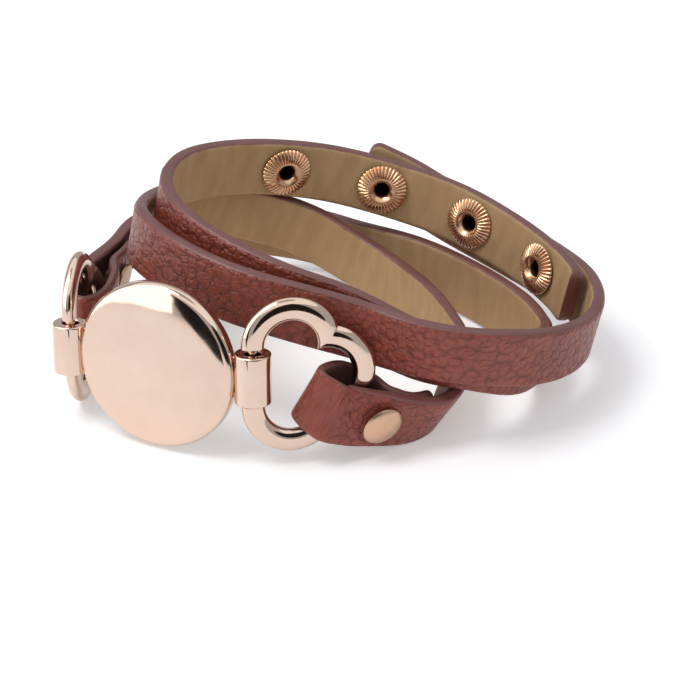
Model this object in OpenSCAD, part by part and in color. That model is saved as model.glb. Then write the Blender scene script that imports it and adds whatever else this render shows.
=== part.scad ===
// Leather wrap bracelet, millimetres, Z up.
// Two leather straps leave a polished disc through clover rings, wind round
// the wrist three times between them and close with a snap at the back.

/* [Straps] */
// Width of both straps
strap_w = 10; // [9:0.5:10]
// Thickness of the leather with its lining
strap_t = 2.2; // [1.6:0.1:2.2]
// Thickness where the leather is pared to fold round a ring
fold_t = 1.5; // [1.2:0.1:1.6]
// Radius of the painted edges
edge_r = 0.75; // [0.4:0.05:0.8]
// Radius of the corners at the free ends
end_r = 1.6; // [0.5:0.1:3]

/* [Disc] */
// Diameter of the disc
disc_d = 26.6; // [20:0.5:28]
// Thickness of the disc at its rim
disc_t = 2.6; // [2:0.1:4]
// Height of the dome above the rim
dome_h = 0.9; // [0.3:0.1:2]
// Radius of the rounding between the dome and the rim
rim_r = 1.2; // [0.4:0.1:1.3]

/* [Hinges] */
// Distance of each hinge barrel from the centre of the disc
barrel_x = 15.8; // [15.6:0.1:17]
// Diameter of a barrel
barrel_d = 5.7; // [4:0.1:6]
// Distance of the barrels behind the middle of the disc
barrel_y = 1; // [0:0.1:1]
// Length of a barrel
barrel_l = 8; // [6:0.1:8]
// Diameter of a ring's pin
pin_d = 1.6; // [1.4:0.1:2.2]
// Clearance round the pin in its barrel
pin_gap = 0.5; // [0.4:0.05:0.6]

/* [Rings] */
// Distance of each lobe's centre from the centre of the ring
lobe_off = 4.7; // [4.6:0.1:5.5]
// Distance of the far lobe's centre from the centre of the ring
far_off = 5.3; // [4:0.1:6]
// Radius of a lobe on the middle of the wire
lobe_r = 5.9; // [5:0.1:6.5]
// Width of the wire in the plane of the ring
wire_w = 3.6; // [2.6:0.1:3.6]
// Thickness of the wire across the ring
wire_t = 2.3; // [1.8:0.1:2.4]

/* [Snaps] */
// Distance between neighbouring posts
post_pitch = 17.3; // [14:0.1:17.5]
// Distance of the last post from the strap's end
post_end = 9.6; // [8:0.1:12]
// Diameter of a post's fluted washer
washer_d = 8.4; // [7:0.1:9]
// Diameter of the snap cap
cap_d = 8; // [7:0.1:9]
// Diameter of the rivets' heads
rivet_d = 6.6; // [5:0.1:7.5]

/* [Hidden] */
$fn = 64;
// Number of snap posts
post_n = 4;
gap = 0.08;
rose = "#e3bda6";
copper = "#c08a66";
leather = "#7d4238";
// Sections in each stretch between two stations, and places round a corner
steps = 4;
corner_steps = 2;
// Moves the whole part so that it stands over its origin
home = [1.2, -14.65, 0.1];

// Where the disc stands: its centre, its turn to the left, its lean back and its roll
disc_at = [-27.85, -9.8, 13.45];
disc_yaw = -25.5;
disc_lean = -8;
disc_roll = 4;
// Turn of each ring about its own pin, from the plane of the disc
right_swing = 36.5;
left_swing = 74;
// How far each ring stands up its barrel, and the left ring's tilt within the barrel's play
right_lift = 0.05;
left_lift = 0.4;
left_tilt = 6.5;

// Stations along each strap. Columns: x, y and z of the middle of the lower edge, the
// outward lean of the strap in degrees, and its thickness. The first rows lie inside
// the fold, the next ones go round the ring, and the rest follow the turns of the coil.
right_rows = [
    [11, -7, 0.4, -30, fold_t],
    [8, -9.7, 0.6, -24, fold_t],
    [4.8, -11, 1.4, -10, fold_t],
    [0.8, -10.6, 3.2, 1, fold_t],
    [-3.9, -11.5, 5.6, -8, fold_t],
    [-7, -14.9, 7, -30, fold_t],
    [-3.8, -17.5, 4.8, -10, fold_t],
    [0.2, -16.3, 3, 3, 1.8],
    [4.9, -13.7, 1.5, 14, strap_t],
    [9.3, -11.1, 0.4, 23, strap_t],
    [12.6, -8.3, 0.2, 32, strap_t],
    [14.6, -4.2, 0.3, 29, strap_t],
    [15.6, 0.8, 0.3, 22, strap_t],
    [16.6, 6, 0.2, 18, strap_t],
    [16.4, 12, 0.1, 10, strap_t],
    [14, 21, 0.1, 4, strap_t],
    [8.5, 31, 0.1, 2, strap_t],
    [1, 37.5, 2, 0, strap_t],
    [-8, 40.6, 5.8, -4, strap_t],
    [-18.5, 39.8, 9.4, -8, strap_t],
    [-27.5, 34, 12.4, -10, strap_t],
    [-32, 25, 15.5, -12, strap_t],
    [-33.2, 16, 17.8, -12, strap_t],
    [-31, 8.5, 19.2, -8, strap_t],
    [-25.5, 1, 19.3, -4, strap_t],
    [-17, -5, 18.3, 0, strap_t],
    [-7, -8, 16.4, 0, strap_t],
    [3, -8.6, 13.6, 2, strap_t],
    [12, -11.4, 12.4, 5, strap_t],
    [20.5, -11.9, 11.3, 8, strap_t],
    [29.5, -6.8, 8.2, 10, strap_t],
    [36, 1, 5.8, 12, strap_t],
    [39, 9, 5, 12, strap_t],
    [38.3, 18, 4.7, 12, strap_t],
    [33.8, 27, 4.4, 12, strap_t],
    [27.2, 34.6, 5, 12, strap_t],
    [18.4, 41.2, 7.2, 11, strap_t],
    [12.2, 43.9, 10, 8, strap_t],
    [7.4, 44.9, 12.4, 7, strap_t],
    [1.8, 45.6, 14.9, 7, strap_t]];
left_rows = [
    [-35.7, 26.6, 6.8, 12, fold_t],
    [-36.8, 23.2, 6.7, 12, fold_t],
    [-37.8, 19, 6.7, 9, fold_t],
    [-36.5, 13.6, 6.9, 3, fold_t],
    [-37.3, 7.6, 7, 0, fold_t],
    [-40.3, 4.9, 7, 0, fold_t],
    [-43, 7.6, 7, -2, fold_t],
    [-42.7, 13.2, 7, -5, 1.8],
    [-41.2, 19, 7, -9, strap_t],
    [-38.4, 25.2, 7.2, -12, strap_t],
    [-35.1, 32, 7.6, -10, strap_t],
    [-28.7, 39, 6.6, -5, strap_t],
    [-19, 44, 4.2, 0, strap_t],
    [-8, 46, 1.8, 2, strap_t],
    [3, 43, 0.1, 3, strap_t],
    [13, 37, 0.1, 4, strap_t],
    [22, 28, 0.1, 5, strap_t],
    [29, 18, 0.1, 5, strap_t],
    [31.5, 9, 0.5, 6, strap_t],
    [29.5, 0.5, 3, 8, strap_t],
    [25.6, -5.6, 5.6, 8, strap_t],
    [19, -9.1, 8.8, 6, strap_t],
    [11, -7.8, 10, 3, strap_t],
    [0, -5.3, 14.3, 0, strap_t],
    [-10, -4, 17.8, -2, strap_t],
    [-19, 0.8, 20, -6, strap_t],
    [-26, 8, 21.5, -8, strap_t],
    [-29, 17, 22, -10, strap_t],
    [-27.5, 26, 21.6, -10, strap_t],
    [-22.5, 32.6, 20.4, -8, strap_t],
    [-14, 38, 18.4, -6, strap_t],
    [-3, 41.4, 15.4, 0, strap_t],
    [9, 41, 12, 8, strap_t],
    [19, 36.8, 9.9, 12, strap_t],
    [28, 28.5, 8.2, 12, strap_t],
    [33.8, 19.4, 7.5, 12, strap_t],
    [36, 13.4, 7.2, 12, strap_t]];

// A smooth curve through four neighbouring rows, between the middle two
function blend(a, b, c, d, t) =
    0.5 * (2 * b + (c - a) * t + (2 * a - 5 * b + 4 * c - d) * t * t + (3 * b - a - 3 * c + d) * t * t * t);
function rows_of(table) = [
    for (i = [0 : len(table) - 2])
        for (k = [0 : steps - 1])
            blend(table[max(i - 1, 0)], table[i], table[i + 1], table[min(i + 2, len(table) - 1)], k / steps),
    table[len(table) - 1]];
function place(row) = [row[0], row[1], row[2]];
function unit(v) = v / norm(v);

// Directions at a row: along the strap, outward across its thickness, and up its width
function along(rows, i) = unit(place(rows[min(i + 1, len(rows) - 1)]) - place(rows[max(i - 1, 0)]));
function level_out(t, side) = side * unit([t[1], -t[0], 0]);
function rise(t, o, side) = side * cross(o, t);
function outward(t, lean, side) =
    cos(lean) * level_out(t, side) - sin(lean) * rise(t, level_out(t, side), side);
function upward(t, lean, side) =
    cos(lean) * rise(t, level_out(t, side), side) + sin(lean) * level_out(t, side);

// Length run from the first row to each row, and the row at a given length
function step_of(rows, i) = i < len(rows) ? norm(place(rows[i]) - place(rows[i - 1])) : 0;
function run_list(rows) = [for (i = 0, s = 0; i < len(rows); s = s + step_of(rows, i + 1), i = i + 1) s];
function row_at(rows, runs, s) = [
    for (c = [0 : 4])
        lookup(s, [for (i = [0 : len(rows) - 1]) [runs[i], rows[i][c]]])];

// Outline of the strap's section, thickness across and width up, as rounded corners
function section(w, t) = [
    for (q = [0 : 3])
        for (k = [0 : corner_steps])
            let (r = min(edge_r, t / 2 - 0.05),
                sx = (q == 0 || q == 3) ? 1 : -1,
                sy = q < 2 ? 1 : -1,
                a = 90 * (q + k / corner_steps))
            [sx * (t / 2 - r) + r * cos(a), w / 2 + sy * (w / 2 - r) + r * sin(a)]];
// Width lost at a free end, so that its corners are round
function corner_cut(d) = d >= end_r ? 0 : end_r - sqrt(end_r * end_r - (end_r - d) * (end_r - d));

module strap_solid(table, side) {
    fine = rows_of(table);
    runs = run_list(fine);
    total = runs[len(runs) - 1];
    // Extra sections close to both ends carry the round corners
    ends = [0.02, 0.15, 0.5, 1];
    lengths = concat(
        [for (e = ends) e * end_r],
        [for (i = [0 : len(runs) - 1]) if (runs[i] > end_r * 1.3 && runs[i] < total - end_r * 1.3) runs[i]],
        [for (k = [len(ends) - 1 : -1 : 0]) total - ends[k] * end_r]);
    rows = [for (s = lengths) row_at(fine, runs, s)];
    m = 4 * (corner_steps + 1);
    n = len(rows);
    points = [
        for (i = [0 : n - 1])
            let (t = along(rows, i),
                o = outward(t, rows[i][3], side),
                u = upward(t, rows[i][3], side),
                cut = corner_cut(min(lengths[i], total - lengths[i])))
            for (q = section(strap_w - 2 * cut, rows[i][4]))
                place(rows[i]) + o * q[0] + u * (q[1] + cut)];
    sides = [
        for (i = [0 : n - 2])
            for (k = [0 : m - 1])
                let (a = i * m + k, b = i * m + (k + 1) % m, c = a + m, d = b + m)
                each (side > 0 ? [[a, b, c], [b, d, c]] : [[a, c, b], [b, c, d]])];
    first = [for (k = [0 : m - 1]) side > 0 ? m - 1 - k : k];
    last = [for (k = [0 : m - 1]) (n - 1) * m + (side > 0 ? k : m - 1 - k)];
    polyhedron(points, concat(sides, [first, last]), convexity = 10);
}

// Carries a piece from its own frame, Z outward and Y up the width, to a length on a strap
module on_strap(table, side, s) {
    fine = rows_of(table);
    runs = run_list(fine);
    row = row_at(fine, runs, s);
    ahead = row_at(fine, runs, s + 0.5);
    behind = row_at(fine, runs, s - 0.5);
    t = unit(place(ahead) - place(behind));
    o = outward(t, row[3], side);
    u = upward(t, row[3], side);
    x = cross(u, o);
    c = place(row) + u * strap_w / 2;
    multmatrix([
        [x[0], u[0], o[0], c[0]],
        [x[1], u[1], o[1], c[1]],
        [x[2], u[2], o[2], c[2]],
        [0, 0, 0, 1]])
        children();
}
function length_of(table) = let (r = run_list(rows_of(table))) r[len(r) - 1];

module at_home() {
    translate(home) children();
}
module at_disc() {
    at_home()
        translate(disc_at)
            rotate([0, 0, disc_yaw])
                rotate([disc_lean, 0, 0])
                    rotate([0, -disc_roll, 0])
                        children();
}
// Frame of a ring: its pin on the Z axis, the ring towards +X, its face towards -Y
module at_ring(right) {
    at_disc()
        mirror([right ? 0 : 1, 0, 0])
            translate([barrel_x, barrel_y, right ? right_lift : left_lift])
                rotate([0, 0, right ? right_swing : left_swing])
                    rotate([0, right ? 0 : -left_tilt, 0])
                        children();
}

// Half outline of the disc: a low dome, a round shoulder and a flat back
function disc_outline() =
    let (r = disc_d / 2, top = disc_t / 2, dome_r = (pow(r - rim_r, 2) + dome_h * dome_h) / (2 * dome_h))
    concat(
        [[0, -top], [r - 0.5, -top], [r, -top + 0.5]],
        [for (k = [0 : 5]) [r - rim_r + rim_r * cos(k * 15), top - rim_r + rim_r * sin(k * 15)]],
        [for (k = [0 : 8])
            let (x = (r - rim_r - 0.1) * (1 - k / 8))
            [x, top + sqrt(dome_r * dome_r - x * x) - dome_r + dome_h]]);

module charm_disc() {
    color(rose) at_disc() {
        difference() {
            union() {
                rotate([90, 0, 0]) rotate_extrude($fn = 96) polygon(disc_outline());
                for (s = [-1, 1]) {
                    translate([s * barrel_x, barrel_y, 0]) cylinder(d = barrel_d, h = barrel_l, center = true);
                    translate([s * (barrel_x + disc_d / 2) / 2 - s * 0.6, barrel_y, 0])
                        cube([barrel_x - disc_d / 2 + 1.6, 1.8, barrel_l - 1.4], center = true);
                }
            }
            for (s = [-1, 1])
                translate([s * barrel_x, barrel_y, 0]) cylinder(d = pin_d + 2 * pin_gap, h = barrel_l + 2, center = true);
        }
    }
}

// A closed loop of oval wire of the lobe's radius
module lobe() {
    rotate_extrude($fn = 64) translate([lobe_r, 0]) {
        square([wire_w - wire_t, wire_t], center = true);
        for (s = [-1, 1]) translate([s * (wire_w - wire_t) / 2, 0]) circle(d = wire_t, $fn = 32);
    }
}
// The parts of the ring's plane that belong to the upper lobe and to the far lobe. They
// start clear of the ring's centre and run past every lobe.
near = 2;
far = 20;

module upper_zone() {
    translate([0, 0, -wire_t]) linear_extrude(2 * wire_t)
        polygon([[near, near], [far, far], [-far, far], [-far, lobe_off], [0, lobe_off]]);
}
module far_zone() {
    translate([0, 0, -wire_t]) linear_extrude(2 * wire_t)
        polygon([[near, near], [near, -near], [far, -far], [far, far]]);
}
module clover_ring() {
    translate([lobe_r, 0, 0]) rotate([90, 0, 0]) {
        for (s = [0, 1]) mirror([0, s, 0]) intersection() {
            translate([0, lobe_off, 0]) lobe();
            upper_zone();
        }
        intersection() {
            translate([far_off, 0, 0]) lobe();
            far_zone();
        }
    }
    cylinder(d = pin_d, h = 2 * lobe_off + 1, center = true);
}
module right_ring() {
    color(rose) at_ring(true) clover_ring();
}
module left_ring() {
    color(rose) at_ring(false) clover_ring();
}

// Lengths along the straps where the fasteners sit, and the post that holds the cap
right_rivet_s = 36.5;
right_foot_s = 11;
left_rivet_s = 43.5;
left_foot_s = 5.2;
hole_d = 3;
snapped = 2;
function post_s(k) = length_of(left_rows) - post_end - (post_n - k) * post_pitch;

// A piece's frame on the closing strap lies this far out from the frame of the post
snap_reach = strap_t + 1.5;
module on_cap() {
    on_strap(left_rows, -1, post_s(snapped)) translate([0, 0, snap_reach]) children();
}

module right_strap() {
    color(leather) at_home() difference() {
        strap_solid(right_rows, 1);
        on_strap(right_rows, 1, right_rivet_s) cylinder(d = hole_d, h = 14, center = true, $fn = 24);
        on_cap() cylinder(d = hole_d, h = 4, center = true, $fn = 24);
    }
}
module left_strap() {
    color(leather) at_home() difference() {
        strap_solid(left_rows, -1);
        on_strap(left_rows, -1, left_rivet_s) cylinder(d = hole_d, h = 14, center = true, $fn = 24);
        for (k = [1 : post_n])
            on_strap(left_rows, -1, post_s(k)) cylinder(d = hole_d, h = 4, center = true, $fn = 24);
    }
}

// A rivet through a fold: domed head outside, shank, and a flat foot behind the flap
module rivet(table, side, head_s, foot_s, reach) {
    head_h = 1.1;
    foot_h = 0.6;
    under = strap_t / 2 + 0.7;
    on_strap(table, side, head_s) {
        translate([0, 0, under]) intersection() {
            cylinder(d = rivet_d, h = head_h);
            translate([0, 0, head_h - 6]) sphere(r = 6, $fn = 96);
        }
        translate([0, 0, -reach]) cylinder(d = hole_d - 0.3, h = reach + under + 0.3);
    }
    on_strap(table, side, foot_s) translate([0, 0, fold_t / 2 + 4 * gap]) cylinder(d = 5.2, h = foot_h);
}
module right_rivet() {
    color(rose) at_home() rivet(right_rows, 1, right_rivet_s, right_foot_s, 5.7);
}
module left_rivet() {
    color(rose) at_home() rivet(left_rows, -1, left_rivet_s, left_foot_s, 3.7);
}

// Half outline of a snap post, Z outward: a fluted washer with a blind funnel on the
// lining, a shank, and a low stud on the outside
seat = 0.45;
stud_h = 0.9;
function post_outline() =
    let (half = strap_t / 2, r = washer_d / 2, base = half + seat, shank = hole_d / 2 - 0.12)
    [[0, -base - 0.1], [1.25, -base - 0.1], [1.3, -base - 0.75], [2.1, -base - 1.05], [3.1, -base - 0.95],
        [r - 0.2, -base - 0.3], [r, -base - 0.1], [r, -base], [shank, -base],
        [shank, half + gap], [3.2, half + gap], [3.2, half + 0.3], [1.5, half + 0.35],
        [1.65, half + stud_h - 0.25], [1.4, half + stud_h], [0, half + stud_h]];
module snap_post(k) {
    color(copper) at_home() on_strap(left_rows, -1, post_s(k)) rotate_extrude($fn = 72) polygon(post_outline());
}
module snap_post_1() snap_post(1);
module snap_post_2() snap_post(2);
module snap_post_3() snap_post(3);
module snap_post_4() snap_post(4);

// Half outline of the snap cap, Z outward: a domed cap, a shank, and a socket round the stud
function cap_outline() =
    let (half = strap_t / 2 + gap, r = cap_d / 2, shank = hole_d / 2 - 0.12)
    [[0, half + 1.5], [1.6, half + 1.4], [3, half + 0.95], [r - 0.2, half + 0.35], [r, half + 0.1], [r, half],
        [shank, half], [shank, -half - 0.2], [3.2, -half - 0.2], [3.2, -half - 0.95],
        [1.8, -half - 0.95], [1.8, -half - 0.4], [0, -half - 0.4]];
module snap_cap() {
    color(rose) at_home() on_cap() rotate_extrude($fn = 72) polygon(cap_outline());
}

charm_disc();
right_ring();
left_ring();
right_strap();
left_strap();
right_rivet();
left_rivet();
snap_post_1();
snap_post_2();
snap_post_3();
snap_post_4();
snap_cap();
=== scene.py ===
import math

import bmesh
import bpy
import numpy as np
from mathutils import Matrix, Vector


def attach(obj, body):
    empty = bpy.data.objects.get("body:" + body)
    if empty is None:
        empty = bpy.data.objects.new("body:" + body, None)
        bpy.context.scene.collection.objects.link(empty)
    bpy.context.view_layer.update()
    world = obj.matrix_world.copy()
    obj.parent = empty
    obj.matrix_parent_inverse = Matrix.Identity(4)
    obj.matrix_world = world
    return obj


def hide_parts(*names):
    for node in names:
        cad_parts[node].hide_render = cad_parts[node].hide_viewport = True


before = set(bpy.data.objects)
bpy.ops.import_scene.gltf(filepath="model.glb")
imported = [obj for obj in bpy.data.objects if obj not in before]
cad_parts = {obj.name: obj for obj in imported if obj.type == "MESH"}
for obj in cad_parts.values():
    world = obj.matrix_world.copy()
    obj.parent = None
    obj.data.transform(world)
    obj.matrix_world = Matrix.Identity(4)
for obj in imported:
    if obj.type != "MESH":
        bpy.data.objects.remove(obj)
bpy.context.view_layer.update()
scene = bpy.context.scene
mm = 0.001
# The tables' origin in the frame, in mm
home = np.array([1.2, -14.65, 0.1])
# Corners nearer than this become one, in metres: at seams, round a hole, along a sliver
weld = {"seam": 2e-7, "hole": 2e-6, "sliver": 1e-6}


def colour(hexText):
    # Linear values of an sRGB colour
    values = [int(hexText[i : i + 2], 16) / 255 for i in (1, 3, 5)]
    return [v / 12.92 if v < 0.04045 else ((v + 0.055) / 1.055) ** 2.4 for v in values] + [1]


def unit(v):
    return v / np.maximum(np.linalg.norm(v, axis=-1, keepdims=True), 1e-12)


def turn(axis, degrees):
    c, s = math.cos(math.radians(degrees)), math.sin(math.radians(degrees))
    i, j = [(1, 2), (2, 0), (0, 1)]["xyz".index(axis)]
    m = np.eye(4)
    m[i, i], m[i, j], m[j, i], m[j, j] = c, -s, s, c
    return m


def shift(x, y, z):
    m = np.eye(4)
    m[:3, 3] = x, y, z
    return m


def placed(grid, matrix):
    return grid @ matrix[:3, :3].T + matrix[:3, 3]


def smooth(low, high, x):
    t = np.clip((x - low) / (high - low), 0, 1)
    return t * t * (3 - 2 * t)


def linked(name, data):
    thing = bpy.data.objects.new(name, data)
    scene.collection.objects.link(thing)
    return thing


def pieceFrom(name, grids, material, replaced=(), sharp=40, uv=None, masks=None):
    # One object of closed grids, rows along and columns round, given in millimetres. A grid
    # whose last row meets its first is a ring, and the others get flat ends
    points, faces, total = [], [], 0
    for grid in grids:
        n, m = grid.shape[:2]
        i, k = np.meshgrid(np.arange(n - 1), np.arange(m), indexing="ij")
        a, b = i * m + k, i * m + (k + 1) % m
        quads = np.stack([a, b, b + m, a + m], -1).reshape(-1, 4)
        flat = grid.reshape(-1, 3)
        # Signed volume of the quads: its sign tells whether the faces look inward
        p, q, r, s = (flat[quads[:, c]] for c in range(4))
        volume = (p * (np.cross(q, r) + np.cross(r, s))).sum()
        first, last = np.arange(m)[::-1], np.arange(m) + (n - 1) * m
        flipped = volume < 0
        if flipped:
            quads, first, last = quads[:, ::-1], first[::-1], last[::-1]
        faces += (quads + total).tolist()
        if not np.allclose(grid[0], grid[-1]):
            faces += [(first + total).tolist(), (last + total).tolist()]
        points.append(flat)
        total += len(flat)
    mesh = bpy.data.meshes.new(name)
    mesh.from_pydata((np.concatenate(points) * mm).tolist(), [], faces)
    if uv is not None:
        # uv goes with a single grid. It holds a length for each row and a width for each
        # column, with one more column than the grid so that the seam closes. The ends stay 0
        lengths, widths = uv
        along = np.stack([lengths[i], lengths[i], lengths[i + 1], lengths[i + 1]], -1)
        across = np.stack([widths[k], widths[k + 1], widths[k + 1], widths[k]], -1)
        pair = np.stack([along, across], -1).reshape(-1, 4, 2)
        if flipped:
            pair = pair[:, ::-1]
        loops = np.zeros((len(mesh.loops), 2))
        loops[: pair.size // 2] = pair.reshape(-1, 2)
        mesh.uv_layers.new(name="strap").data.foreach_set("uv", loops.ravel())
    for key, values in (masks or {}).items():
        mesh.attributes.new(key, "FLOAT", "POINT").data.foreach_set("value", values.ravel())
    if uv is None:
        work = bmesh.new()
        work.from_mesh(mesh)
        bmesh.ops.remove_doubles(work, verts=work.verts, dist=weld["seam"])
        bmesh.ops.recalc_face_normals(work, faces=work.faces)
        work.to_mesh(mesh)
        work.free()
    mesh.validate()
    mesh.shade_smooth()
    mesh.set_sharp_from_angle(angle=math.radians(sharp))
    piece = linked(name, mesh)
    mesh.materials.append(material)
    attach(piece, "root")
    if replaced:
        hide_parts(*replaced)
    return piece


# Camera at the photograph's angle, 30 degrees above the table. Places in mm, near in metres
eye = {"from": (1.2, -395.7, 232.1), "to": (1.2, -14.65, 12.1),
       "lens": 149.1, "sensor": 36, "near": 0.01}
camera = linked("camera", bpy.data.cameras.new("camera"))
scene.camera = camera
camera.location = Vector(eye["from"]) * mm
forward = Vector(eye["to"]) * mm - camera.location
camera.rotation_euler = forward.to_track_quat("-Z", "Y").to_euler()
camera.data.lens = eye["lens"]
camera.data.sensor_width = eye["sensor"]
camera.data.clip_start = eye["near"]
print("camera placed")


def newMaterial(name):
    material = bpy.data.materials.new(name)
    material.use_nodes = True
    tree = material.node_tree
    tree.nodes.clear()
    shader = tree.nodes.new("ShaderNodeBsdfPrincipled")
    out = tree.nodes.new("ShaderNodeOutputMaterial")
    tree.links.new(shader.outputs[0], out.inputs[0])
    return material, tree, shader


def add(tree, kind, inputs=None, **settings):
    # Adds a node. Inputs are numbers, colours or sockets, by name or by place
    node = tree.nodes.new("ShaderNode" + kind)
    for key, value in settings.items():
        setattr(node, key, value)
    for key, value in (inputs or {}).items():
        socket = node.inputs[key]
        if isinstance(value, bpy.types.NodeSocket):
            tree.links.new(value, socket)
        else:
            socket.default_value = value
    return node


def platedMetal(name, look):
    # Die-cast metal, polished and plated: faint clouds in the polish, fine wiping marks, and
    # painted shade, dark and rough, down inside a tube, where the mask on the mesh is 1
    material, tree, shader = newMaterial(name)
    place = add(tree, "TexCoord").outputs["Object"]
    clouds = add(tree, "TexNoise", {"Vector": place, "Scale": 250, "Detail": 4, "Roughness": 0.6})
    stretched = add(tree, "Mapping", {"Vector": place, "Scale": (500, 500, 4000)})
    marks = add(tree, "TexNoise", {"Vector": stretched.outputs[0], "Scale": 1, "Detail": 2})
    shadedWell = add(tree, "Attribute", attribute_name="shadedWell").outputs["Fac"]
    tint = add(tree, "MixRGB", {
        0: clouds.outputs[0], 1: colour(look["dull"]), 2: colour(look["bright"])})
    # Painted shade: the inside of the tube turns near black
    tint = add(tree, "MixRGB", {0: shadedWell, 1: tint.outputs[0], 2: colour("#24130d")})
    rough = add(tree, "MapRange", {
        "Value": clouds.outputs[0], "From Min": 0.3, "From Max": 0.7,
        "To Min": look["rough"], "To Max": look["rough"] + look["spread"]})
    rough = add(tree, "MixRGB", {0: shadedWell, 1: rough.outputs[0], 2: (0.7, 0.7, 0.7, 1)})
    bump = add(tree, "Bump", {
        "Strength": look["marks"], "Distance": 0.00003, "Height": marks.outputs[0]})
    shader.inputs["Metallic"].default_value = 1
    tree.links.new(tint.outputs[0], shader.inputs["Base Color"])
    tree.links.new(rough.outputs[0], shader.inputs["Roughness"])
    tree.links.new(bump.outputs[0], shader.inputs["Normal"])
    return material


roseGold = platedMetal("polished rose gold plate", {
    "dull": "#d6baa8", "bright": "#e0c8b7", "rough": 0.06, "spread": 0.05, "marks": 0.04})
handledGold = platedMetal("tumbled rose gold plate", {
    "dull": "#bb9276", "bright": "#dcb99c", "rough": 0.2, "spread": 0.18, "marks": 0.3})
copper = platedMetal("stamped copper plate", {
    "dull": "#bf9270", "bright": "#dab391", "rough": 0.16, "spread": 0.1, "marks": 0.1})

# In mm: how far apart the pebbles are, how far they wander, how high they stand
pebble = {"size": 1.4, "warp": 0.9, "relief": 0.3}


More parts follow.
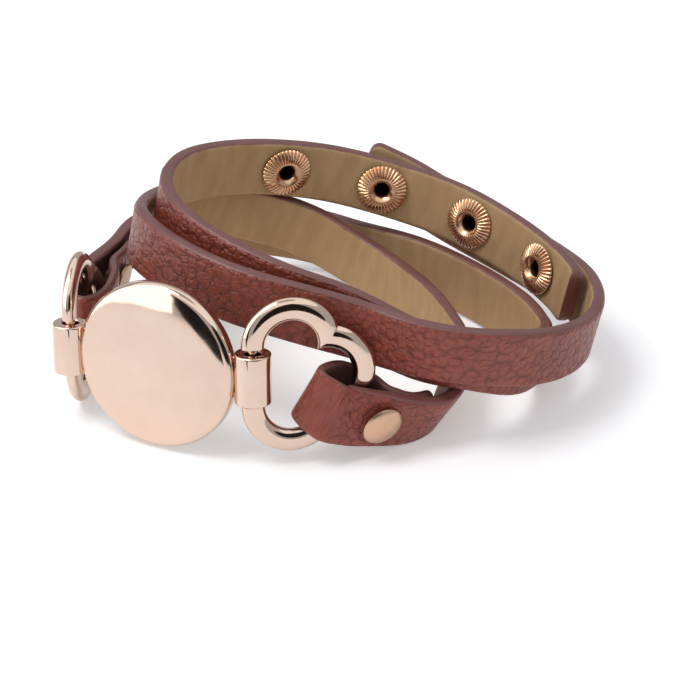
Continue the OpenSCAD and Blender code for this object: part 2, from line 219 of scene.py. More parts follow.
def strapLeather():
    # Milled cowhide: soft pebbles with creases between them and fine wrinkles on them. The cut
    # edges carry thick mauve paint, and the back is a tan lining with a short suede nap. The
    # masks on the mesh say where each one is: paint, lining, painted shade on the folded end's
    # lining, and fold (stretched over the ring, where the pebbles draw out into wrinkles).
    material, tree, shader = newMaterial("milled pebble leather with painted edge and suede lining")
    flat = add(tree, "UVMap", uv_map="strap").outputs[0]
    mask = {key: add(tree, "Attribute", attribute_name=key).outputs["Fac"]
            for key in ("paint", "lining", "pared", "fold")}

    # Pebbles: domes over the cells of a warped pattern, height 1 - 1.6 d^2, and creases along
    # the borders of the cells
    wander = add(tree, "TexNoise", {"Vector": flat, "Scale": 0.45, "Detail": 3},
                 noise_dimensions="2D")
    warped = add(tree, "VectorMath", {
        0: wander.outputs["Color"], 1: [pebble["warp"] * 2] * 3, 2: flat},
        operation="MULTIPLY_ADD").outputs[0]
    cells = add(tree, "TexVoronoi", {"Vector": warped, "Scale": 1 / pebble["size"]},
                voronoi_dimensions="2D")
    square = add(tree, "Math", {0: cells.outputs["Distance"], 1: 2}, operation="POWER")
    dome = add(tree, "Math", {0: square.outputs[0], 1: -1.6, 2: 1}, operation="MULTIPLY_ADD")
    border = add(tree, "TexVoronoi", {"Vector": warped, "Scale": 1 / pebble["size"]},
                 voronoi_dimensions="2D", feature="DISTANCE_TO_EDGE")
    crease = add(tree, "MapRange", {"Value": border.outputs["Distance"], "From Max": 0.22},
                 interpolation_type="SMOOTHSTEP")
    # Wrinkles on the pebbles, about 0.6 mm apart, and pores
    fine = add(tree, "TexVoronoi", {"Vector": warped, "Scale": 1.7}, voronoi_dimensions="2D")
    ridge = add(tree, "TexNoise", {"Vector": warped, "Scale": 1.3, "Detail": 3, "Roughness": 0.6},
                noise_dimensions="2D", noise_type="RIDGED_MULTIFRACTAL")
    pores = add(tree, "TexNoise", {"Vector": flat, "Scale": 8, "Detail": 3}, noise_dimensions="2D")
    grain = add(tree, "Math", {0: dome.outputs[0], 1: 0.5}, operation="MULTIPLY")
    for part, share in ((crease, 0.14), (fine, -0.35), (ridge, 0.16), (pores, 0.12)):
        grain = add(tree, "Math", {0: part.outputs[0], 1: share, 2: grain.outputs[0]},
                    operation="MULTIPLY_ADD")

    # Stretched leather: wrinkles that run across the strap
    drawn = add(tree, "Mapping", {"Vector": warped, "Scale": (1.9, 0.3, 1)})
    pulled = add(tree, "TexNoise", {"Vector": drawn.outputs[0], "Scale": 1, "Detail": 3},
                 noise_dimensions="2D")
    grain = add(tree, "MixRGB", {0: mask["fold"], 1: grain.outputs[0], 2: pulled.outputs[0]})

    # Lining: short nap, and soft wrinkles across the strap. The clouds are for the whole strap
    across = add(tree, "Mapping", {"Vector": flat, "Scale": (0.45, 0.15, 1)})
    wrinkles = add(tree, "TexNoise", {
        "Vector": across.outputs[0], "Scale": 1, "Detail": 2, "Roughness": 0.4},
        noise_dimensions="2D")
    nap = add(tree, "TexNoise", {"Vector": flat, "Scale": 3.5, "Detail": 5, "Roughness": 0.75},
              noise_dimensions="2D")
    clouds = add(tree, "TexNoise", {"Vector": flat, "Scale": 0.14, "Detail": 3},
                 noise_dimensions="2D")

    # The paint's border follows the pebbles that it runs over
    edge = add(tree, "Math", {0: grain.outputs[0], 1: -0.15, 2: mask["paint"]},
               operation="MULTIPLY_ADD")
    edge = add(tree, "MapRange", {"Value": edge.outputs[0], "From Min": 0.4, "From Max": 0.75},
               interpolation_type="SMOOTHSTEP")

    # Colours: creases darker and pebbles' tops lighter, partly the hide's own tone and partly
    # painted shade and highlight; tan lining; painted shade on the folded end's lining; mauve paint
    hide = add(tree, "ValToRGB", {"Fac": grain.outputs[0]})
    for element, place, tone in zip(hide.color_ramp.elements, (0.05, 0.75), ("#752f22", "#96422e")):
        element.position, element.color = place, colour(tone)
    hide = add(tree, "MixRGB", {0: 0.3, 1: hide.outputs[0], 2: clouds.outputs[0]},
               blend_type="SOFT_LIGHT")
    tan = add(tree, "MixRGB", {0: wrinkles.outputs[0], 1: colour("#a8845a"), 2: colour("#bf9e72")})
    tan = add(tree, "MixRGB", {0: 0.2, 1: tan.outputs[0], 2: nap.outputs[0]},
              blend_type="SOFT_LIGHT")
    # Painted shade: the lining of the folded end, in the pocket under the other strap, turns dark
    # brown
    tan = add(tree, "MixRGB", {0: mask["pared"], 1: tan.outputs[0], 2: colour("#54302a")})
    coat = add(tree, "MixRGB", {0: clouds.outputs[0], 1: colour("#693a35"), 2: colour("#7f504a")})
    faces = add(tree, "MixRGB", {0: mask["lining"], 1: hide.outputs[0], 2: tan.outputs[0]})
    look = add(tree, "MixRGB", {0: edge.outputs[0], 1: faces.outputs[0], 2: coat.outputs[0]})
    tree.links.new(look.outputs[0], shader.inputs["Base Color"])

    # The pebbles' tops are the shiniest, and the lining is matt
    rough = add(tree, "MapRange", {
        "Value": grain.outputs[0], "From Min": 0.1, "From Max": 0.8,
        "To Min": 0.42, "To Max": 0.24})
    rough = add(tree, "MixRGB", {0: mask["lining"], 1: rough.outputs[0], 2: (0.85, 0.85, 0.85, 1)})
    rough = add(tree, "MixRGB", {0: edge.outputs[0], 1: rough.outputs[0], 2: (0.4, 0.4, 0.4, 1)})
    tree.links.new(rough.outputs[0], shader.inputs["Roughness"])

    # Relief: grain, nap, and nearly smooth paint
    soft = add(tree, "Math", {0: nap.outputs[0], 1: 0.12, 2: wrinkles.outputs[0]},
               operation="MULTIPLY_ADD")
    height = add(tree, "MixRGB", {0: mask["lining"], 1: grain.outputs[0], 2: soft.outputs[0]})
    height = add(tree, "MixRGB", {0: edge.outputs[0], 1: height.outputs[0], 2: clouds.outputs[0]})
    bump = add(tree, "Bump", {
        "Strength": 1, "Distance": pebble["relief"] * mm, "Height": height.outputs[0]})
    tree.links.new(bump.outputs[0], shader.inputs["Normal"])
    return material


leather = strapLeather()
print("materials ready")

# Columns: x, y, z of the middle of the lower edge, outward lean in degrees, thickness
rightRows = [
    [11, -7, 0.4, -30, 1.5], [8, -9.7, 0.6, -24, 1.5], [4.8, -11, 1.4, -10, 1.5],
    [0.8, -10.6, 3.2, 1, 1.5], [-3.9, -11.5, 5.6, -8, 1.5], [-7, -14.9, 7, -30, 1.5],
    [-3.8, -17.5, 4.8, -10, 1.5], [0.2, -16.3, 3, 3, 1.8], [4.9, -13.7, 1.5, 14, 2.2],
    [9.3, -11.1, 0.4, 23, 2.2], [12.6, -8.3, 0.2, 32, 2.2], [14.6, -4.2, 0.3, 29, 2.2],
    [15.6, 0.8, 0.3, 22, 2.2], [16.6, 6, 0.2, 18, 2.2], [16.4, 12, 0.1, 10, 2.2],
    [14, 21, 0.1, 4, 2.2], [8.5, 31, 0.1, 2, 2.2], [1, 37.5, 2, 0, 2.2],
    [-8, 40.6, 5.8, -4, 2.2], [-18.5, 39.8, 9.4, -8, 2.2], [-27.5, 34, 12.4, -10, 2.2],
    [-32, 25, 15.5, -12, 2.2], [-33.2, 16, 17.8, -12, 2.2], [-31, 8.5, 19.2, -8, 2.2],
    [-25.5, 1, 19.3, -4, 2.2], [-17, -5, 18.3, 0, 2.2], [-7, -8, 16.4, 0, 2.2],
    [3, -8.6, 13.6, 2, 2.2], [12, -11.4, 12.4, 5, 2.2], [20.5, -11.9, 11.3, 8, 2.2],
    [29.5, -6.8, 8.2, 10, 2.2], [36, 1, 5.8, 12, 2.2], [39, 9, 5, 12, 2.2],
    [38.3, 18, 4.7, 12, 2.2], [33.8, 27, 4.4, 12, 2.2], [27.2, 34.6, 5, 12, 2.2],
    [18.4, 41.2, 7.2, 11, 2.2], [12.2, 43.9, 10, 8, 2.2], [7.4, 44.9, 12.4, 7, 2.2],
    [1.8, 45.6, 14.9, 7, 2.2]]
leftRows = [
    [-35.7, 26.6, 6.8, 12, 1.5], [-36.8, 23.2, 6.7, 12, 1.5], [-37.8, 19, 6.7, 9, 1.5],
    [-36.5, 13.6, 6.9, 3, 1.5], [-37.3, 7.6, 7, 0, 1.5], [-40.3, 4.9, 7, 0, 1.5],
    [-43, 7.6, 7, -2, 1.5], [-42.7, 13.2, 7, -5, 1.8], [-41.2, 19, 7, -9, 2.2],
    [-38.4, 25.2, 7.2, -12, 2.2], [-35.1, 32, 7.6, -10, 2.2], [-28.7, 39, 6.6, -5, 2.2],
    [-19, 44, 4.2, 0, 2.2], [-8, 46, 1.8, 2, 2.2], [3, 43, 0.1, 3, 2.2], [13, 37, 0.1, 4, 2.2],
    [22, 28, 0.1, 5, 2.2], [29, 18, 0.1, 5, 2.2], [31.5, 9, 0.5, 6, 2.2],
    [29.5, 0.5, 3, 8, 2.2], [25.6, -5.6, 5.6, 8, 2.2], [19, -9.1, 8.8, 6, 2.2],
    [11, -7.8, 10, 3, 2.2], [0, -5.3, 14.3, 0, 2.2], [-10, -4, 17.8, -2, 2.2],
    [-19, 0.8, 20, -6, 2.2], [-26, 8, 21.5, -8, 2.2], [-29, 17, 22, -10, 2.2],
    [-27.5, 26, 21.6, -10, 2.2], [-22.5, 32.6, 20.4, -8, 2.2], [-14, 38, 18.4, -6, 2.2],
    [-3, 41.4, 15.4, 0, 2.2], [9, 41, 12, 8, 2.2], [19, 36.8, 9.9, 12, 2.2],
    [28, 28.5, 8.2, 12, 2.2], [33.8, 19.4, 7.5, 12, 2.2], [36, 13.4, 7.2, 12, 2.2]]
# In mm: width, full thickness, radius of the section's corners and of the corners at the free
# ends, diameter of the holes, length of lining that gets painted shade and how far that fades,
# reach of the paint round a free end
strapSize = {"width": 10, "thick": 2.2, "edge": 0.75, "end": 1.6, "hole": 3,
             "pared": 54, "fade": 8, "coat": 0.5}
# Waves in the leather: height in mm, then radians for each mm along, across and slanting
waves = {"height": 0.03, "along": 0.9, "across": 0.55, "slant": 0.31}
# Bends, in radians for each mm, where pebbles begin to draw out and where they are drawn out
drawnOut = (0.08, 0.2)
# Steps of the curve from one row of a table to the next, and of the section
curveSteps = {"frame": 4, "grid": 18}
sectionSteps = {"corner": 6, "edge": 3, "face": 20}


def fineRows(table, steps):
    # Catmull-Rom curve through the rows, with the end rows doubled
    rows = np.array(table, float)
    padded = np.vstack([rows[:1], rows, rows[-1:]])
    t = (np.arange(steps) / steps)[None, :, None]
    a, b, c, d = (padded[k : k + len(rows) - 1, None] for k in range(4))
    fine = 0.5 * (2 * b + (c - a) * t + (2 * a - 5 * b + 4 * c - d) * t**2
                  + (3 * b - a - 3 * c + d) * t**3)
    return np.vstack([fine.reshape(-1, rows.shape[1]), rows[-1:]])


def runsOf(rows):
    return np.concatenate([[0], np.cumsum(np.linalg.norm(np.diff(rows[:, :3], axis=0), axis=1))])


def rowsAt(rows, runs, s):
    return np.stack([np.interp(s, runs, rows[:, c]) for c in range(rows.shape[1])], -1)


def directions(tangent, lean, side):
    # Outward and upward, from the way that the strap runs and how far it leans out
    level = side * unit(np.stack([tangent[..., 1], -tangent[..., 0], 0 * tangent[..., 0]], -1))
    rise = side * np.cross(level, tangent)
    c, s = np.cos(np.radians(lean))[..., None], np.sin(np.radians(lean))[..., None]
    return c * level - s * rise, c * rise + s * level


def strapFrame(table, side, s):
    # The frame of a fastener at a length on a strap: Z outward, Y up its width
    rows = fineRows(table, curveSteps["frame"])
    runs = runsOf(rows)
    behind, row, ahead = rowsAt(rows, runs, np.array([s - 0.5, s, s + 0.5]))
    outward, upward = directions(unit(ahead[:3] - behind[:3]), row[3], side)
    m = np.eye(4)
    m[:3, 0], m[:3, 1], m[:3, 2] = np.cross(upward, outward), upward, outward
    m[:3, 3] = row[:3] + upward * strapSize["width"] / 2 + home
    return m


def sectionRing():
    # Each place round the section as shares of (t/2 - r), r across and (w/2 - r), r up
    corner, edge, face = sectionSteps["corner"], sectionSteps["edge"], sectionSteps["face"]
    ring = []
    for sx, sy, start in ((1, 1, 0), (-1, 1, 90), (-1, -1, 180), (1, -1, 270)):
        for k in range(corner + 1):
            a = math.radians(start + 90 / corner * k)
            ring.append([sx, math.cos(a), sy, math.sin(a)])
        if start in (0, 180):
            ring += [[sx * (1 - 2 * k / edge), 0, sy, sy] for k in range(1, edge)]
        else:
            ring += [[sx, sx, sy * (1 - 2 * k / face), 0] for k in range(1, face)]
    return np.array(ring)


def softened(values, count=27):
    # Running average along the strap with a Hann window, the ends held
    window = np.hanning(count + 2)[1:-1]
    padded = np.pad(values, [(count // 2, count // 2)] + [(0, 0)] * (values.ndim - 1), "edge")
    return np.apply_along_axis(np.convolve, 0, padded, window / window.sum(), "valid")


def strapGrid(table, side, bumps):
    fine = fineRows(table, curveSteps["grid"])
    runs = runsOf(fine)
    total, end = runs[-1], strapSize["end"]
    # Rows crowd at the free ends, here as shares of the corner's radius
    near = np.array([0.01, 0.04, 0.1, 0.2, 0.35, 0.55, 0.8, 1.05]) * end
    between = (runs > 1.2 * end) & (runs < total - 1.2 * end)
    s = np.concatenate([near, runs[between], (total - near)[::-1]])
    rows = rowsAt(fine, runs, s)
    tangent = unit(softened(unit(np.gradient(rows[:, :3], axis=0))))
    outward, upward = directions(tangent, softened(rows[:, 3]), side)
    # Width lost at the round corners of the free ends
    d = np.minimum(np.minimum(s, total - s), end)
    cut = end - np.sqrt(np.maximum(end**2 - (end - d) ** 2, 0))
    width, thick = strapSize["width"] - 2 * cut, rows[:, 4]
    r = np.minimum(strapSize["edge"], thick / 2 - 0.05)
    ring = sectionRing()
    q = ring[:, 0] * (thick / 2 - r)[:, None] + ring[:, 1] * r[:, None]
    p = (width / 2)[:, None] + ring[:, 2] * (width / 2 - r)[:, None] + ring[:, 3] * r[:, None]
    p = p + cut[:, None]
    # Slow waves in the leather, smaller than the gaps between the straps:
    # height sin(along s) sin(across p + slant s)
    slant = waves["across"] * p + waves["slant"] * s[:, None] + bumps
    wave = waves["height"] * np.sin(waves["along"] * s + bumps)[:, None] * np.sin(slant)
    q = q + wave * ring[:, 1]
    middle = (rows[:, :3] + home)[:, None]
    grid = middle + outward[:, None] * q[..., None] + upward[:, None] * p[..., None]
    # Widths round the full section, for the grain
    edge = strapSize["edge"]
    outline = np.stack([ring[:, 0] * (strapSize["thick"] / 2 - edge) + ring[:, 1] * edge,
                        ring[:, 2] * (strapSize["width"] / 2 - edge) + ring[:, 3] * edge], -1)
    steps = np.linalg.norm(np.diff(outline, axis=0, append=outline[:1]), axis=1)
    around = np.concatenate([[0], np.cumsum(steps)])
    # The masks: paint on the edges and round the free ends, and the lining on the inside
    paint = np.abs(ring[:, 3])[None, :] + 0 * s[:, None]
    paint = np.maximum(paint, 1 - smooth(0, strapSize["coat"], d)[:, None])
    lining = (ring[:, 1] < 0)[None, :] + 0 * s[:, None]
    # Painted shade on the lining as far as the fold reaches, and stretched where the strap bends
    # sharply
    whole = strapSize["pared"] + strapSize["fade"]
    pared = (1 - smooth(strapSize["pared"], whole, s))[:, None] + 0 * paint
    bend = np.linalg.norm(np.gradient(tangent, s, axis=0), axis=1)
    fold = smooth(*drawnOut, softened(bend))[:, None] + 0 * paint
    return grid, (s, around), {"paint": paint, "lining": lining, "pared": pared, "fold": fold}


def punched(piece, places, size):
    # Round holes through a strap at the given frames, each as long as its place says
    a = np.linspace(0, 2 * math.pi, 40, endpoint=False)
    grids = []
    for place, length in places:
        ends = np.array([-length / 2, length / 2])[:, None]
        tube = np.broadcast_arrays(np.cos(a) * size / 2, np.sin(a) * size / 2, ends)
        grids.append(placed(np.stack(tube, -1), place))
    cutter = pieceFrom("hole_cutter", grids, leather)
    cut = piece.modifiers.new("holes", "BOOLEAN")
    cut.object, cut.operation, cut.solver = cutter, "DIFFERENCE", "EXACT"
    ready = piece.evaluated_get(bpy.context.evaluated_depsgraph_get())
    mesh = bpy.data.meshes.new_from_object(ready)
    piece.modifiers.clear()
    piece.data = mesh
    # Closes the slivers that the cut leaves
    work = bmesh.new()
    work.from_mesh(mesh)
    bmesh.ops.remove_doubles(work, verts=work.verts, dist=weld["hole"])
    bmesh.ops.dissolve_degenerate(work, edges=work.edges, dist=weld["sliver"])
    work.to_mesh(mesh)
    work.free()
    mesh.set_sharp_from_angle(angle=math.radians(80))
    bpy.data.objects.remove(cutter)


# Fasteners by their lengths along the straps. The cap stands its reach outside its post
posts = {"count": 4, "pitch": 17.3, "end": 9.6, "snapped": 2, "reach": 3.7}
leftLength = runsOf(fineRows(leftRows, curveSteps["frame"]))[-1]
postPlaces = [strapFrame(leftRows, -1, leftLength - posts["end"] - k * posts["pitch"])
              for k in reversed(range(posts["count"]))]
capPlace = postPlaces[posts["snapped"] - 1] @ shift(0, 0, posts["reach"])
rivetPieces = [
    {"name": "right_rivet_domed", "node": "right_rivet", "rows": rightRows, "side": 1,
     "head": 36.5, "foot": 11, "reach": 5.7},
    {"name": "left_rivet_domed", "node": "left_rivet", "rows": leftRows, "side": -1,
     "head": 43.5, "foot": 5.2, "reach": 3.7}]
rivetPlaces = [strapFrame(spec["rows"], spec["side"], spec["head"]) for spec in rivetPieces]

# Lengths of the holes: through both layers of a fold, and through one strap
holeLength = {"folded": 14, "single": 4}
strapPieces = [
    {"name": "right_strap_leather", "rows": rightRows, "side": 1, "node": "right_strap",
     "bumps": 0.4,
     "holes": [(rivetPlaces[0], holeLength["folded"]), (capPlace, holeLength["single"])]},
    {"name": "left_strap_leather", "rows": leftRows, "side": -1, "node": "left_strap",
     "bumps": 2.1,
     "holes": [(rivetPlaces[1], holeLength["folded"])]
     + [(place, holeLength["single"]) for place in postPlaces]}]
for spec in strapPieces:
    grid, uv, masks = strapGrid(spec["rows"], spec["side"], spec["bumps"])
    piece = pieceFrom(spec["name"], [grid], leather, [spec["node"]],
                      sharp=80, uv=uv, masks=masks)
    punched(piece, spec["holes"], strapSize["hole"])
print("straps made")

# In mm and degrees. "meet" is how far the shoulder turns before the dome, "power" the dome's
disc = {"at": [-27.85, -9.8, 13.45], "yaw": -25.5, "lean": -8, "roll": 4,
        "d": 26.6, "t": 2.6, "dome": 0.9, "rim": 1.2, "meet": 77, "power": 3.2,
        "barrelX": 15.8, "barrelY": 1, "barrelD": 5.7, "barrelL": 8, "pin": 1.6, "play": 0.5}
# Distances of the lobes' centres, the lobes' radius, and the wire's width and thickness
ringSize = {"lobe": 4.7, "far": 5.3, "r": 5.9, "w": 3.6, "t": 2.3}
atDisc = (shift(*home) @ shift(*disc["at"]) @ turn("z", disc["yaw"])
          @ turn("x", disc["lean"]) @ turn("y", -disc["roll"]))


def lathe(profile, count=160):
    # Radii and heights turned round Z: rows go round, columns follow the closed profile
    profile = np.array(profile, float)
    a = np.linspace(0, 2 * math.pi, count + 1)
    return np.stack([np.cos(a)[:, None] * profile[:, 0], np.sin(a)[:, None] * profile[:, 0],
                     np.ones(count + 1)[:, None] * profile[:, 1]], -1)


def rounded(points, radius, steps=5):
    # A closed outline with its corners rounded off by quadratic curves, but not those on the
    # axis, and never by more than 0.45 of a side
    points = np.array(points, float)
    out = []
    for k, p in enumerate(points):
        a, b = points[k - 1], points[(k + 1) % len(points)]
        if p[0] < 1e-6:
            out.append(p)
            continue
        r = min(radius, 0.45 * np.linalg.norm(a - p), 0.45 * np.linalg.norm(b - p))
        start, stop = p + unit(a - p) * r, p + unit(b - p) * r
        out += [start * (1 - t) ** 2 + 2 * p * t * (1 - t) + stop * t * t
                for t in np.linspace(0, 1, steps)]
    return out


def discProfile():
    # Flat back, round shoulder and a dome: height = dome (1 - (x / edge)^power)
    r, top, rim, meet = disc["d"] / 2, disc["t"] / 2, disc["rim"], math.radians(disc["meet"])
    edge, level = r - rim + rim * math.cos(meet), top - rim + rim * math.sin(meet)
    back = [[0, -top], [r - 0.6, -top], [r - 0.3, -top + 0.08], [r - 0.08, -top + 0.3],
            [r, -top + 0.6]]
    shoulder = [[r - rim + rim * math.cos(a), top - rim + rim * math.sin(a)]
                for a in np.linspace(0, meet, 13)]
    face = [[x, level + disc["dome"] * (1 - (x / edge) ** disc["power"])]
            for x in np.linspace(edge, 0, 40)[1:]]
    return back + shoulder + face


barrelR, barrelEnd = disc["barrelD"] / 2, disc["barrelL"] / 2
boreR = disc["pin"] / 2 + disc["play"]
barrelProfile = rounded([[boreR, -barrelEnd], [barrelR, -barrelEnd],
                         [barrelR, barrelEnd], [boreR, barrelEnd]], 0.3)
tab = {"middle": 13.05, "length": 2.3, "thick": 1.8, "width": 6.6, "corner": 0.5}


def tabGrid(middle):
    # Block of solder between the disc and a barrel, with round corners. It ends in the
    # barrel's wall, short of the bore that the pin turns in
    a = np.linspace(0, 2 * math.pi, 32, endpoint=False)
    half = np.array([tab["thick"], tab["width"]]) / 2 - tab["corner"]
    across = np.stack([np.cos(a), np.sin(a)], -1)
    ring = np.sign(across) * half + across * tab["corner"]
    ends = middle + np.array([-0.5, 0.5])[:, None] * tab["length"]
    return np.stack(np.broadcast_arrays(ends, ring[:, 0] + disc["barrelY"], ring[:, 1]), -1)


discGrids = [placed(lathe(discProfile(), 256), atDisc @ turn("x", 90))]
for s in (-1, 1):
    atBarrel = atDisc @ shift(s * disc["barrelX"], disc["barrelY"], 0)
    discGrids.append(placed(lathe(barrelProfile, 128), atBarrel))
pieceFrom("disc_polished", discGrids, roseGold, ["charm_disc"], sharp=50)
tabGrids = [placed(tabGrid(s * tab["middle"]), atDisc) for s in (-1, 1)]
pieceFrom("disc_solder_tabs", tabGrids, roseGold, ["charm_disc"])


def ringGrid():
    # One sweep round the three lobes. For every place on the wire's section the lobe's arc
    # ends on the line midway between two lobes' centres, so the lobes meet in a crease. The
    # section is an ellipse with the power 2.1 for 2, so a little fuller
    lobe, farLobe = np.array([0, ringSize["lobe"]]), np.array([ringSize["far"], 0])
    sideRows, farRows = 72, 60
    a = np.linspace(0, 2 * math.pi, 48, endpoint=False)
    power = 2 / 2.1
    across = ringSize["w"] / 2 * np.sign(np.cos(a)) * np.abs(np.cos(a)) ** power
    thick = ringSize["t"] / 2 * np.sign(np.sin(a)) * np.abs(np.sin(a)) ** power
    radius = ringSize["r"] + across
    middle, apart = (lobe + farLobe) / 2, farLobe - lobe
    half = np.linalg.norm(apart) / 2
    along = np.array([-apart[1], apart[0]]) / (2 * half)
    # Where each circle crosses the line midway between the centres
    cross = middle + along * np.sqrt(radius**2 - half**2)[:, None]
    upEnd = np.arctan2(cross[:, 1] - lobe[1], cross[:, 0] - lobe[0])
    farEnd = np.arctan2(cross[:, 1], cross[:, 0] - farLobe[0])
    rows = []
    for share in np.linspace(0, 1, sideRows + 1):
        angle = math.pi + (upEnd - math.pi) * share
        x, y = lobe[0] + radius * np.cos(angle), lobe[1] + radius * np.sin(angle)
        rows.append(np.stack([x, y, thick], -1))
    for share in np.linspace(0, 1, farRows + 1)[1:]:
        angle = farEnd * (1 - 2 * share)
        x, y = farLobe[0] + radius * np.cos(angle), radius * np.sin(angle)
        rows.append(np.stack([x, y, thick], -1))
    for row in rows[sideRows - 1 :: -1]:
        rows.append(row * [1, -1, 1])
    return placed(np.array(rows), shift(ringSize["r"], 0, 0) @ turn("x", 90))


# The pin ends inside the wire, 0.5 mm past the lobes' centres
pinR, pinEnd = disc["pin"] / 2, ringSize["lobe"] + 0.5
pinProfile = [[0, -pinEnd], [pinR, -pinEnd], [pinR, pinEnd], [0, pinEnd]]
ringPieces = [
    {"name": "right_ring_polished", "node": "right_ring",
     "swing": 36.5, "lift": 0.05, "tilt": 0, "flip": 1},
    {"name": "left_ring_polished", "node": "left_ring",
     "swing": 74, "lift": 0.4, "tilt": 6.5, "flip": -1}]
for spec in ringPieces:
    place = (atDisc @ np.diag([spec["flip"], 1, 1, 1])
             @ shift(disc["barrelX"], disc["barrelY"], spec["lift"])
             @ turn("z", spec["swing"]) @ turn("y", -spec["tilt"]))
    grids = [placed(ringGrid(), place), placed(lathe(pinProfile, 64), place)]
    pieceFrom(spec["name"], grids, roseGold, [spec["node"]], sharp=32)
print("disc and rings made")

# Fastener outlines below: radius, height outward from the middle of the leather. The flutes
# lie under the height "below", deepen over the radii in "fade" and notch the rim over "rim"
flutes = {"count": 36, "depth": 0.11, "notch": 0.016, "below": -1.6,
          "fade": (1.98, 2.7), "rim": (3.4, 4.2)}


def postGrid():
    # Hollow post with a fluted washer on the lining side. Flute height = depth (1 - 2 |sin|^0.8),
    # so the crests are round and the valleys sharp
    outline = np.array([
        [0, 0.9], [0.4, 0.9], [0.95, 0.7], [1.15, 0.2], [1.18, -0.6], [1.18, -1.3],
        [1.2, -1.8], [1.3, -2.02], [1.5, -2.22], [1.75, -2.42], [1.98, -2.58], [2.15, -2.62],
        [2.35, -2.6], [2.7, -2.52], [3.1, -2.38], [3.5, -2.2], [3.85, -2], [4.05, -1.86],
        [4.16, -1.74], [4.2, -1.64], [4.17, -1.57], [4, -1.55], [1.38, -1.55], [1.38, 1.18],
        [3.2, 1.18], [3.2, 1.4], [1.5, 1.45], [1.65, 1.75], [1.4, 2], [0, 2]])
    count = flutes["count"] * 8
    grid = lathe(outline, count)
    a = np.linspace(0, 2 * math.pi, count + 1)[:, None]
    wave = 1 - 2 * np.abs(np.sin(flutes["count"] / 2 * a)) ** 0.8
    r, height = outline.T
    front = (height < flutes["below"]) & (r > flutes["fade"][0])
    grid[..., 2] += wave * flutes["depth"] * front * smooth(*flutes["fade"], r)
    grid[..., :2] *= (1 - wave * flutes["notch"] * front * smooth(*flutes["rim"], r))[..., None]
    # The inside of the tube, which gets painted shade
    shadedWell = (1 - smooth(1.16, 1.3, r)) * (height < 1)
    return grid, shadedWell + 0 * a


grid, shadedWell = postGrid()
for k, place in enumerate(postPlaces):
    name = f"snap_post_{k + 1}"
    pieceFrom(name + "_fluted", [placed(grid, place)], copper, [name],
              sharp=50, masks={"shadedWell": shadedWell})

capProfile = [
    [0, 2.68], [0.8, 2.66], [1.6, 2.58], [2.4, 2.38], [3, 2.13], [3.5, 1.78], [3.85, 1.5],
    [4, 1.3], [3.98, 1.2], [3.8, 1.18], [1.38, 1.18], [1.38, -1.38], [3.2, -1.38],
    [3.2, -2.13], [1.8, -2.13], [1.8, -1.58], [0, -1.58]]
pieceFrom("snap_cap_domed", [placed(lathe(capProfile, 128), capPlace)], handledGold,
          ["snap_cap"], sharp=50)

# A rivet's head, with its heights counted from "under", and its foot
under, rivetPinR = 1.8, 1.35
headOutline = [[0, 1.05], [0.8, 1.02], [1.6, 0.9], [2.3, 0.7], [2.8, 0.48], [3.15, 0.25],
               [3.3, 0.05], [3.25, -0.05], [3, -0.05], [rivetPinR, -0.05]]
foot = rounded([[0, 1.07], [2.6, 1.07], [2.6, 1.67], [0, 1.67]], 0.15)
for spec, place in zip(rivetPieces, rivetPlaces):
    head = [[r, under + height] for r, height in headOutline]
    head += [[rivetPinR, -spec["reach"]], [0, -spec["reach"]]]
    atFoot = strapFrame(spec["rows"], spec["side"], spec["foot"])
    grids = [placed(lathe(head, 128), place), placed(lathe(foot, 96), atFoot)]
    pieceFrom(spec["name"], grids, handledGold, [spec["node"]], sharp=50)
print("fasteners made")

def glowing(name, tone, rough, glow):
    # Plain surface that gives off white light
    material, _, shader = newMaterial(name)
    shader.inputs["Base Color"].default_value = colour(tone)
    shader.inputs["Roughness"].default_value = rough
    shader.inputs["Emission Color"].default_value = colour("#ffffff")
    shader.inputs["Emission Strength"].default_value = glow
    return material


# Pale table, 6 m across, which gives off a little light
half = 3
floorMesh = bpy.data.meshes.new("floor")
floorMesh.from_pydata([[-half, -half, 0], [half, -half, 0], [half, half, 0], [-half, half, 0]],
                      [], [[0, 1, 2, 3]])
floorMesh.materials.append(glowing("white table", "#f4f4f4", 0.6, 0.3))
floor = linked("floor", floorMesh)

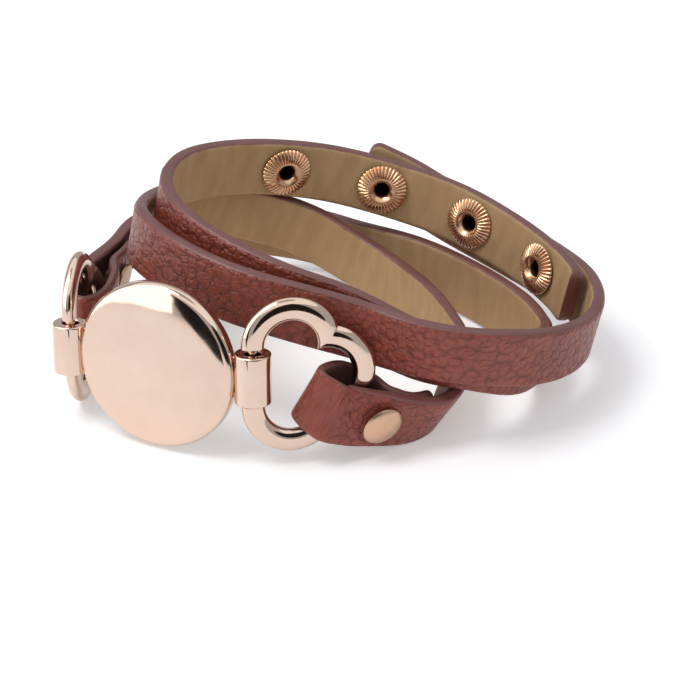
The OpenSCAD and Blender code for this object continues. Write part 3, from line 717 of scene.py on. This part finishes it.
# Cards that only the polished metal sees. Columns: degrees left of straight ahead of the
# point "about", lower edge, upper edge
metalAt = (-26, -24)
cards = [
    {"name": "black card at the left", "about": metalAt, "far": 80, "glow": 0,
     "rows": [[43, 32, 70], [39, 23, 60], [33, 16, 50], [28, 12, 40], [23, 7, 30], [17, 4, 20]]},
    {"name": "black card in front", "about": metalAt, "far": 80, "glow": 0,
     "rows": [[-2, 22, 50], [-15, 18, 75], [-28, 17, 82], [-37, 15, 82], [-48, 20, 55],
              [-54, 26, 36]]},
    {"name": "white tent above", "about": (0, 0), "far": 900, "glow": 1.15,
     "rows": [[left, 680, 2700] for left in range(-180, 181, 30)]},
    {"name": "white card at the left", "about": metalAt, "far": 80, "glow": 2.2,
     "rows": [[110, 14, 160], [90, 16, 160], [76, 18, 160], [70, 21, 160], [62, 22, 160],
              [50, 21, 160], [44, 23, 160]]}]
for spec in cards:
    points = []
    for left, low, high in spec["rows"]:
        x = spec["about"][0] - spec["far"] * math.sin(math.radians(left))
        y = spec["about"][1] - spec["far"] * math.cos(math.radians(left))
        points += [[x * mm, y * mm, low * mm], [x * mm, y * mm, high * mm]]
    quads = [[2 * k, 2 * k + 2, 2 * k + 3, 2 * k + 1] for k in range(len(spec["rows"]) - 1)]
    cardMesh = bpy.data.meshes.new(spec["name"])
    cardMesh.from_pydata(points, [], quads)
    cardMesh.materials.append(glowing(spec["name"], "#050505", 1, spec["glow"]))
    card = linked(spec["name"], cardMesh)
    card.visible_camera = card.visible_diffuse = card.visible_shadow = False
    card.visible_transmission = card.visible_volume_scatter = False

world = bpy.data.worlds.new("studio")
scene.world = world
world.use_nodes = True
background = world.node_tree.nodes["Background"]
background.inputs["Color"].default_value = colour("#f6f9ff")
background.inputs["Strength"].default_value = 0.56

# One soft lamp high at the left. Places and size in metres, power in watts
keyLamp = {"at": (-0.35, -0.1, 0.75), "to": (0, 0, 0.01), "size": 0.35, "power": 3}
lamp = linked("key", bpy.data.lights.new("key", "AREA"))
lamp.location = keyLamp["at"]
forward = Vector(keyLamp["to"]) - lamp.location
lamp.rotation_euler = forward.to_track_quat("-Z", "Y").to_euler()
lamp.data.size = keyLamp["size"]
lamp.data.energy = keyLamp["power"]
print("floor and light ready")

scene.view_settings.view_transform = "Standard"
